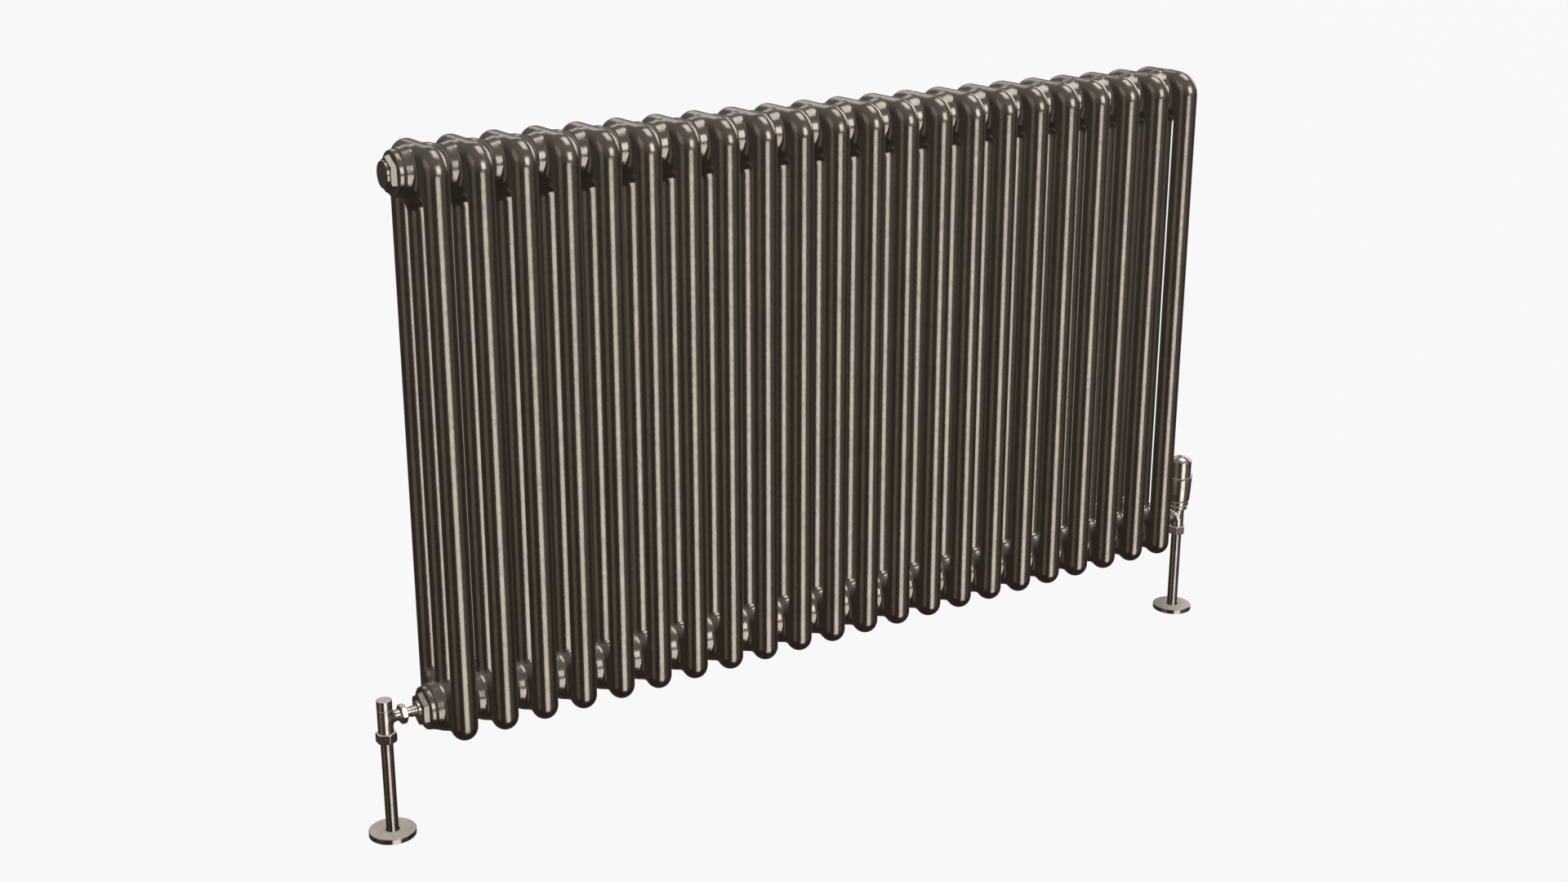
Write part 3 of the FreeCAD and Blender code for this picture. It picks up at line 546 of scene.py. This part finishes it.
def build_shared_fittings():
    """The pieces that both valves have."""
    nut_low, nut_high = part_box("compression_nuts")
    union = nut_mesh("union_nut", UNION_HEX, UNION_LENGTH, UNION_TURN, TAIL_R + 0.1)
    pipe_low, pipe_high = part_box("left_pipe")
    pipe_length = (pipe_high.z - pipe_low.z) / MM
    pipe = lathe("pipe", [(PIPE_BORE_R, 0, 0.15), (PIPE_R, 0, 0.2), (PIPE_R, pipe_length, 0.2),
                          (PIPE_BORE_R, pipe_length, 0.15)], True)
    collar = lathe("collar", [(COLLAR_BORE_R, 0, 0.2), (COLLAR_R, 0, 0.2), (COLLAR_R, COLLAR_HEIGHT, 0.7),
                              (COLLAR_BORE_R, COLLAR_HEIGHT, 0.5)], True, 160)
    bush_face = abs(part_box("left_lower_bush")[0].x)
    for side, inward in (("left", RIGHT), ("right", LEFT)):
        axis_spot = valve_spot(side, LOW_HUB)
        tail_length = (abs(axis_spot.x) - bush_face) / MM
        tail = lathe("tail_" + side, tail_corners(UNION_START + 3, tail_length), True)
        pipe_nut = nut_mesh("pipe_nut_" + side, PIPE_NUT_HEX, PIPE_NUT_LENGTH, PIPE_NUT_TURNS[side],
                            PIPE_R + 0.1)
        piece("pipe_nut_" + side, pipe_nut, valve_spot(side, nut_low.z), UP, "radiator", "satin_nickel",
              "compression_nuts")
        piece("union_nut_" + side, union, axis_spot + inward * UNION_START * MM, inward, "radiator",
              "satin_nickel", "union_nuts")
        piece("tail_" + side, tail, axis_spot, inward, "radiator", "satin_nickel", "valve_tails")
        piece("pipe_" + side, pipe, valve_spot(side, pipe_low.z), UP, "radiator", "nickel_pipe",
              side + "_pipe")
        piece("floor_collar_" + side, collar, valve_spot(side, pipe_low.z), UP, "radiator", "nickel_pipe",
              "floor_collars")


def build_lockshield():
    low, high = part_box("lockshield_body")
    nut_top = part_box("compression_nuts")[1].z
    bottom = (nut_top - LOW_HUB) / MM
    body = body_mesh("lockshield", bottom, (high.z - LOW_HUB) / MM, 5.0, -6.0)
    piece("lockshield_valve", body, valve_spot("left", LOW_HUB), UP, "radiator", "satin_nickel",
          "lockshield_body")
    cap_low, cap_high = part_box("lockshield_cap")
    height = (cap_high.z - cap_low.z) / MM
    cap = lathe("cap", [(0, height - 1.8, 0), (6.4, height - 1.8, 0.3), (6.4, 0, 0.3), (BARREL_R, 0, 0.4),
                        (BARREL_R, height, 0.4), (0, height, 0)])
    piece("lockshield_top", cap, valve_spot("left", cap_low.z), UP, "lockshield_cap", "satin_nickel",
          "lockshield_cap")


def build_thermostatic():
    nut_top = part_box("compression_nuts")[1].z
    bottom = (nut_top - LOW_HUB) / MM
    base_low, base_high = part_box("trv_head_base")
    body = body_mesh("trv", bottom, (base_low.z - LOW_HUB) / MM + 5.0, 6.0, -5.0)
    spot = valve_spot("right", LOW_HUB)
    valve = piece("trv_valve", body, spot, UP, "radiator", "satin_nickel", "trv_body")
    valve.matrix_world = valve.matrix_world @ Matrix.Rotation(math.pi, 4, "Z")
    base = [(7.5, 0, 0.2), (9.9, 0, 0.5), (11.2, 1.2, 0.5), (11.2, 4.6, 0.5), (9.8, 5.0, 0.2),
            (9.8, 6.0, 0.2), (12.3, 6.4, 0.5), (12.3, 11.5, 0.5), (9.0, 11.5, 0.2), (9.0, 16.0, 0.3),
            (4.2, 16.0, 0.3), (4.2, 8.5, 0.2), (7.5, 8.5, 0.2)]
    piece("trv_base", lathe("trv_base", base, True), valve_spot("right", base_low.z), UP, "radiator",
          "satin_nickel", "trv_head_base")
    build_head()


def build_head():
    """The head turns as one: grip shell, index tab and domed cap."""
    shell_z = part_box("trv_head_handle")[0].z
    cap_low, cap_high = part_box("trv_head_cap")
    seam = (cap_low.z - shell_z) / MM
    shell = [(9.1, 0, 0.2), (12.8, 0, 0.5), (13.4, 1.5, 3.0), (14.2, 11.0, 60.0), (14.7, 22.0, 40.0),
             (14.7, 29.0, 8.0), (14.2, seam, 0.5), (11.6, seam, 0.3), (11.6, 5.0, 1.0), (9.1, 3.0, 0.3)]
    piece("trv_grip", lathe("grip", shell, True), valve_spot("right", shell_z), UP, "trv_head",
          "satin_nickel", "trv_head_handle")
    piece("trv_index_tab", tab_mesh(), valve_spot("right", shell_z), UP, "trv_head", "satin_nickel",
          "trv_head_handle")
    height = (cap_high.z - cap_low.z) / MM
    edge = height - TRV_DOME_RISE
    dome_r = (TRV_CAP_R ** 2 + TRV_DOME_RISE ** 2) / (2 * TRV_DOME_RISE)
    spread = math.asin(TRV_CAP_R / dome_r)
    crown = [(dome_r * math.sin(spread * k / 8), height - dome_r * (1 - math.cos(spread * k / 8)))
             for k in range(8, -1, -1)]
    dome = [(0, height - 1.8, 0), (7.0, height - 3.2, 6.0), (11.5, edge - 1.0, 1.0), (11.5, 0, 0.3),
            (TRV_CAP_R, 0, 0.5)]
    dome += [(r, z, 0.9 if k == 0 else 30.0) for k, (r, z) in enumerate(crown)]
    piece("trv_dome", lathe("dome", dome), valve_spot("right", cap_low.z), UP, "trv_head",
          "satin_nickel", "trv_head_cap")


def spring_mesh(length):
    """Open coil of round wire, cut off flat, with its lower end at z 0."""
    height = length - 2 * SPRING_WIRE_R
    steps_along, around = 120, 12
    points, normals, faces = [], [], []
    for k in range(steps_along + 1):
        share = k / steps_along
        angle = 2 * math.pi * share * height / SPRING_PITCH
        spoke = Vector((math.cos(angle), math.sin(angle), 0))
        middle = SPRING_R * spoke + (SPRING_WIRE_R + share * height) * UP
        for j in range(around):
            a = 2 * math.pi * j / around
            normal = math.cos(a) * spoke + math.sin(a) * UP
            points.append(middle + SPRING_WIRE_R * normal)
            normals.append(normal)
    for k in range(steps_along):
        for j in range(around):
            first, second = k * around, (k + 1) * around
            after = (j + 1) % around
            faces.append([first + j, second + j, second + after, first + after])
    faces.append(list(range(around)))
    faces.append([steps_along * around + j for j in reversed(range(around))])
    return mesh_of("trv_spring", np.array(points), np.array(normals), faces)


def build_return_spring():
    """A coil that reaches from the bottom to the top of the spring node. It rides on no body, so its length stays
    fixed.
    """
    low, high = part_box("trv_return_spring")
    spring = stand_in("trv_spring", spring_mesh((high.z - low.z) / MM), valve_spot("right", low.z), UP,
                      "screw_steel", "trv_return_spring")
    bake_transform(spring)


def tab_mesh():
    """Raised index on the side of the head, bridging the seam; local z 0 is the shell's foot."""
    low, high = 24.0, 38.0

    def field(points):
        u = points[..., 0] * math.cos(TAB_ANGLE) + points[..., 1] * math.sin(TAB_ANGLE)
        v = -points[..., 0] * math.sin(TAB_ANGLE) + points[..., 1] * math.cos(TAB_ANGLE)
        z = points[..., 2]
        across = np.abs(v) - 1.8
        upright = bar(across, z, low, high, 1.7)
        return round_cut(upright, np.abs(u - 14.4) - 1.05, 0.7)

    reach_x = np.arange(9.0, 14.5, 0.3)
    reach_y = np.arange(-12.0, -4.5, 0.3)
    return net("tab", field, (reach_x, reach_y, steps(low, high, 0.3)))


# ---------------------------------------------------------------- materials
class Finish:
    """A node material under construction."""
    def __init__(self, name):
        self.material = bpy.data.materials.new(name)
        self.material.use_nodes = True
        self.tree = self.material.node_tree
        self.shader = self.tree.nodes["Principled BSDF"]
        coordinates = self.node("ShaderNodeTexCoord")
        self.object = coordinates.outputs["Object"]
        own = self.node("ShaderNodeObjectInfo").outputs["Random"]
        self.shift = self.math("MULTIPLY", own, 37.0)

    def node(self, kind, **settings):
        made = self.tree.nodes.new(kind)
        for key, value in settings.items():
            setattr(made, key, value)
        return made

    def link(self, source, target):
        self.tree.links.new(source, target)

    def value(self, name, number):
        self.shader.inputs[name].default_value = number

    def math(self, operation, a, b):
        made = self.node("ShaderNodeMath", operation=operation)
        for socket, source in zip(made.inputs, (a, b)):
            if isinstance(source, (int, float)):
                socket.default_value = source
            else:
                self.link(source, socket)
        return made.outputs[0]

    def noise(self, scale, detail=2.0, roughness=0.5, stretch=(1, 1, 1)):
        """Noise of that many cells per metre, different on every piece."""
        mapping = self.node("ShaderNodeMapping")
        mapping.inputs["Scale"].default_value = stretch
        self.link(self.object, mapping.inputs["Vector"])
        made = self.node("ShaderNodeTexNoise", noise_dimensions="4D")
        made.inputs["Scale"].default_value = scale
        made.inputs["Detail"].default_value = detail
        made.inputs["Roughness"].default_value = roughness
        self.link(mapping.outputs[0], made.inputs["Vector"])
        self.link(self.shift, made.inputs["W"])
        return made.outputs["Fac"]

    def ranged(self, source, low, high, new_low, new_high):
        made = self.node("ShaderNodeMapRange")
        limits = (("From Min", low), ("From Max", high), ("To Min", new_low), ("To Max", new_high))
        for name, number in limits:
            made.inputs[name].default_value = number
        self.link(source, made.inputs["Value"])
        return made.outputs[0]

    def blend(self, factor, a, b):
        """Colour a where factor is 0 and b where it is 1."""
        made = self.node("ShaderNodeMix", data_type="RGBA")
        self.link(factor, made.inputs["Factor"])
        for socket, source in ((made.inputs["A"], a), (made.inputs["B"], b)):
            if isinstance(source, tuple):
                socket.default_value = source + (1,)
            else:
                self.link(source, socket)
        return made.outputs["Result"]

    def bump(self, height, depth, strength=1.0, under=None):
        """Surface relief of that depth in metres, added on top of another."""
        made = self.node("ShaderNodeBump")
        made.inputs["Strength"].default_value = strength
        made.inputs["Distance"].default_value = depth
        self.link(height, made.inputs["Height"])
        if under is not None:
            self.link(under, made.inputs["Normal"])
        return made.outputs["Normal"]


def lacquered_iron():
    """Dark bronze metal, mottled, with a finely uneven lacquered skin."""
    finish = Finish("lacquered_iron")
    broad = finish.noise(22, 4, 0.6)
    cloudy = finish.noise(130, 3, 0.6)
    speck = finish.noise(900, 2, 0.6)
    colour = finish.blend(finish.ranged(broad, 0.35, 0.65, 0, 1), (0.170, 0.149, 0.131), (0.198, 0.175, 0.154))
    colour = finish.blend(finish.ranged(cloudy, 0.5, 0.75, 0, 0.5), colour, (0.120, 0.102, 0.086))
    colour = finish.blend(finish.ranged(speck, 0.66, 0.74, 0, 0.6), colour, (0.050, 0.040, 0.033))
    finish.link(colour, finish.shader.inputs["Base Color"])
    finish.value("Metallic", 1.0)
    finish.link(finish.ranged(cloudy, 0.3, 0.7, 0.17, 0.23), finish.shader.inputs["Roughness"])
    peel = finish.bump(finish.noise(230, 2, 0.5), 0.0001)
    grain = finish.bump(finish.noise(620, 3, 0.6), 0.00005, 1.0, peel)
    finish.link(grain, finish.shader.inputs["Normal"])
    return finish.material


def plated(name, dark, light, roughness, metallic_grain, vertical):
    """Satin nickel plate: brushed, slightly stained and finely scratched."""
    finish = Finish(name)
    cloudy = finish.noise(90, 4, 0.6)
    stain = finish.noise(420, 3, 0.7)
    stretch = (1, 1, 0.04) if vertical else (1, 1, 0.3)
    brushed = finish.noise(1500, 2, 0.6, stretch)
    colour = finish.blend(finish.ranged(cloudy, 0.35, 0.68, 0, 1), dark, light)
    colour = finish.blend(finish.ranged(stain, 0.62, 0.78, 0, 0.5), colour, tuple(0.45 * c for c in dark))
    finish.link(colour, finish.shader.inputs["Base Color"])
    finish.value("Metallic", 1.0)
    finish.link(finish.ranged(brushed, 0.3, 0.7, roughness - 0.04, roughness + 0.06),
                finish.shader.inputs["Roughness"])
    grain = finish.bump(brushed, metallic_grain)
    pits = finish.bump(finish.noise(700, 3, 0.6), 0.00002, 1.0, grain)
    finish.link(pits, finish.shader.inputs["Normal"])
    return finish.material


def plain_metal(name, dark, light, roughness):
    finish = Finish(name)
    cloudy = finish.noise(150, 4, 0.6)
    fine = finish.noise(900, 3, 0.6)
    finish.link(finish.blend(finish.ranged(cloudy, 0.3, 0.7, 0, 1), dark, light),
                finish.shader.inputs["Base Color"])
    finish.value("Metallic", 1.0)
    finish.link(finish.ranged(fine, 0.3, 0.7, roughness - 0.08, roughness + 0.08),
                finish.shader.inputs["Roughness"])
    finish.link(finish.bump(fine, 0.00004), finish.shader.inputs["Normal"])
    return finish.material


def powder_coat():
    finish = Finish("bracket_steel")
    texture = finish.noise(1100, 2, 0.6)
    cloudy = finish.noise(60, 3, 0.6)
    finish.link(finish.blend(finish.ranged(cloudy, 0.3, 0.7, 0, 1), (0.030, 0.025, 0.022), (0.046, 0.039, 0.034)),
                finish.shader.inputs["Base Color"])
    finish.link(finish.ranged(cloudy, 0.3, 0.7, 0.42, 0.55), finish.shader.inputs["Roughness"])
    finish.link(finish.bump(texture, 0.00008), finish.shader.inputs["Normal"])
    return finish.material


def soft_finish(name, dark, light, roughness):
    """Gasket fibre, rubber and moulded plastic."""
    finish = Finish(name)
    fibre = finish.noise(1400, 4, 0.7)
    cloudy = finish.noise(120, 3, 0.6)
    finish.link(finish.blend(finish.ranged(cloudy, 0.3, 0.7, 0, 1), dark, light),
                finish.shader.inputs["Base Color"])
    finish.link(finish.ranged(fibre, 0.3, 0.7, roughness - 0.1, roughness + 0.1),
                finish.shader.inputs["Roughness"])
    finish.link(finish.bump(fibre, 0.00006), finish.shader.inputs["Normal"])
    return finish.material


def build_materials():
    return {
        "lacquered_iron": lacquered_iron(),
        "satin_nickel": plated("satin_nickel", (0.27, 0.24, 0.215), (0.36, 0.33, 0.30), 0.16, 0.00001, True),
        "nickel_pipe": plated("nickel_pipe", (0.20, 0.176, 0.155), (0.26, 0.23, 0.205), 0.14, 0.00001, False),
        "bare_iron": plain_metal("bare_iron", (0.12, 0.11, 0.10), (0.19, 0.17, 0.155), 0.5),
        "bare_brass": plain_metal("bare_brass", (0.55, 0.38, 0.16), (0.68, 0.50, 0.24), 0.3),
        "screw_steel": plain_metal("screw_steel", (0.38, 0.38, 0.37), (0.52, 0.52, 0.51), 0.3),
        "bracket_steel": powder_coat(),
        "fibre_gasket": soft_finish("fibre_gasket", (0.012, 0.010, 0.009), (0.022, 0.018, 0.015), 0.7),
        "valve_rubber": soft_finish("valve_rubber", (0.014, 0.014, 0.015), (0.025, 0.025, 0.026), 0.6),
        "sensor_plastic": soft_finish("sensor_plastic", (0.62, 0.61, 0.58), (0.70, 0.69, 0.66), 0.45),
    }


def dress(materials):
    """Gives every piece and every CAD node the material of its slot.

    They neither shade nor mirror each other, so the lights reach the middle and rear columns too.
    """
    for thing in bpy.context.scene.objects:
        if thing.type != "MESH":
            continue
        slot_name = thing.get("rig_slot") or NODE_SLOTS.get(thing.name)
        if slot_name is None:
            continue
        thing.visible_glossy = False
        thing.visible_shadow = False
        thing.data.materials.clear()
        thing.data.materials.append(materials[slot_name])


NODE_SLOTS = {
    "lower_joining_nipples": "bare_iron", "upper_joining_nipples": "bare_iron",
    "bush_gaskets": "fibre_gasket", "olives": "bare_brass", "lockshield_headwork": "bare_brass",
    "lockshield_spindle": "bare_brass", "lockshield_plug": "bare_brass", "trv_insert": "bare_brass",
    "trv_disc": "valve_rubber", "trv_pin": "screw_steel",
    "trv_sensor": "sensor_plastic", "wall_brackets": "bracket_steel", "retaining_clips": "bracket_steel",
    "clip_screws": "screw_steel",
}


# ---------------------------------------------------------------- studio
def aimed(thing, target):
    """Points a light's or camera's -z at the target."""
    thing.rotation_euler = (Vector(target) - thing.location).to_track_quat("-Z", "Y").to_euler()


def softbox(name, azimuth, elevation, across, tall, radiance, tint=(1, 1, 1)):
    """Area light seen from the radiator in that direction (azimuth 0 in front, 90 to the right).

    Its place and its size, across and tall, are in degrees.
    """
    light = bpy.data.lights.new(name, "AREA")
    light.shape = "RECTANGLE"
    light.size = 2 * LIGHT_DISTANCE * math.tan(math.radians(across / 2))
    light.size_y = 2 * LIGHT_DISTANCE * math.tan(math.radians(tall / 2))
    light.energy = radiance * math.pi * light.size * light.size_y
    light.color = tint
    thing = bpy.data.objects.new(name, light)
    bpy.context.scene.collection.objects.link(thing)
    target = Vector((0, MID_Y, 0.4))
    a, e = math.radians(azimuth), math.radians(elevation)
    away = Vector((math.sin(a) * math.cos(e), -math.cos(a) * math.cos(e), math.sin(e)))
    thing.location = target + LIGHT_DISTANCE * away
    aimed(thing, target)
    return thing


def build_floor():
    mesh = bpy.data.meshes.new("studio_floor")
    size = 30.0
    corners = [(-size, -size, 0), (size, -size, 0), (size, size, 0), (-size, size, 0)]
    mesh.from_pydata(corners, [], [(0, 1, 2, 3)])
    floor = bpy.data.objects.new("studio_floor", mesh)
    bpy.context.scene.collection.objects.link(floor)
    material = bpy.data.materials.new("pale_paper")
    material.use_nodes = True
    shader = material.node_tree.nodes["Principled BSDF"]
    shader.inputs["Base Color"].default_value = (0.02, 0.02, 0.02, 1)
    shader.inputs["Roughness"].default_value = 1.0
    shader.inputs["Specular IOR Level"].default_value = 0.0
    shader.inputs["Emission Color"].default_value = (0.93, 0.93, 0.93, 1)
    shader.inputs["Emission Strength"].default_value = 0.99
    mesh.materials.append(material)
    floor.visible_glossy = False
    floor.visible_diffuse = False
    floor.visible_shadow = False


def build_world():
    """Pale to the camera; a dim room, brighter overhead, in reflections."""
    world = bpy.data.worlds.new("studio")
    bpy.context.scene.world = world
    world.use_nodes = True
    tree = world.node_tree
    background = tree.nodes["Background"]
    coordinates = tree.nodes.new("ShaderNodeTexCoord")
    split = tree.nodes.new("ShaderNodeSeparateXYZ")
    tree.links.new(coordinates.outputs["Generated"], split.inputs[0])
    room = tree.nodes.new("ShaderNodeValToRGB")
    room.color_ramp.interpolation = "EASE"
    room.color_ramp.elements[0].position = 0.25
    room.color_ramp.elements[0].color = (0.105, 0.085, 0.068, 1)
    room.color_ramp.elements[1].position = 1.0
    room.color_ramp.elements[1].color = (0.50, 0.48, 0.45, 1)
    rise = tree.nodes.new("ShaderNodeMapRange")
    rise.inputs["From Min"].default_value = -1
    tree.links.new(split.outputs["Z"], rise.inputs["Value"])
    tree.links.new(rise.outputs[0], room.inputs[0])
    path = tree.nodes.new("ShaderNodeLightPath")
    mix = tree.nodes.new("ShaderNodeMix")
    mix.data_type = "RGBA"
    mix.inputs["B"].default_value = (0.93, 0.93, 0.93, 1)
    tree.links.new(room.outputs[0], mix.inputs["A"])
    tree.links.new(path.outputs["Is Camera Ray"], mix.inputs["Factor"])
    tree.links.new(mix.outputs["Result"], background.inputs["Color"])


def build_studio():
    build_floor()
    build_world()
    softbox("front_low_softbox", -6.5, -23.5, 34, 41, 2.85)
    softbox("front_high_softbox", 7, 23, 34, 28, 4.1)
    softbox("overhead_softbox", 98, 73, 36, 34, 3.0)
    softbox("right_side_softbox", 112, 18, 40, 22, 2.2)
    softbox("rear_softbox", 161, 31, 26, 18, 1.2)
    softbox("left_softbox", -95, 22, 40, 26, 0.45, (1.1, 1.0, 0.94))
    softbox("left_low_softbox", -87, -12, 34, 32, 0.26, (1.12, 1.0, 0.85))
    softbox("right_softbox", 36, 10, 46, 80, 0.16, (1.1, 1.0, 0.88))
    bpy.context.scene.view_settings.view_transform = "Standard"


def build_camera():
    camera = bpy.data.cameras.new("camera")
    camera.lens = 45.56
    camera.sensor_width = 36.0
    camera.clip_end = 100
    thing = bpy.data.objects.new("camera", camera)
    bpy.context.scene.collection.objects.link(thing)
    thing.location = (-1.19869, -1.74205, 1.00781)
    yaw, pitch = math.radians(33.307), math.radians(18.006)
    ahead = Vector((math.sin(yaw) * math.cos(pitch), math.cos(yaw) * math.cos(pitch), -math.sin(pitch)))
    aimed(thing, thing.location + ahead)
    bpy.context.scene.camera = thing


build_sections()
build_joint_gaskets()
build_bushes()
build_plugs()
build_shared_fittings()
build_lockshield()
build_thermostatic()
build_return_spring()
dress(build_materials())
build_studio()
build_camera()

bpy.context.view_layer.update()
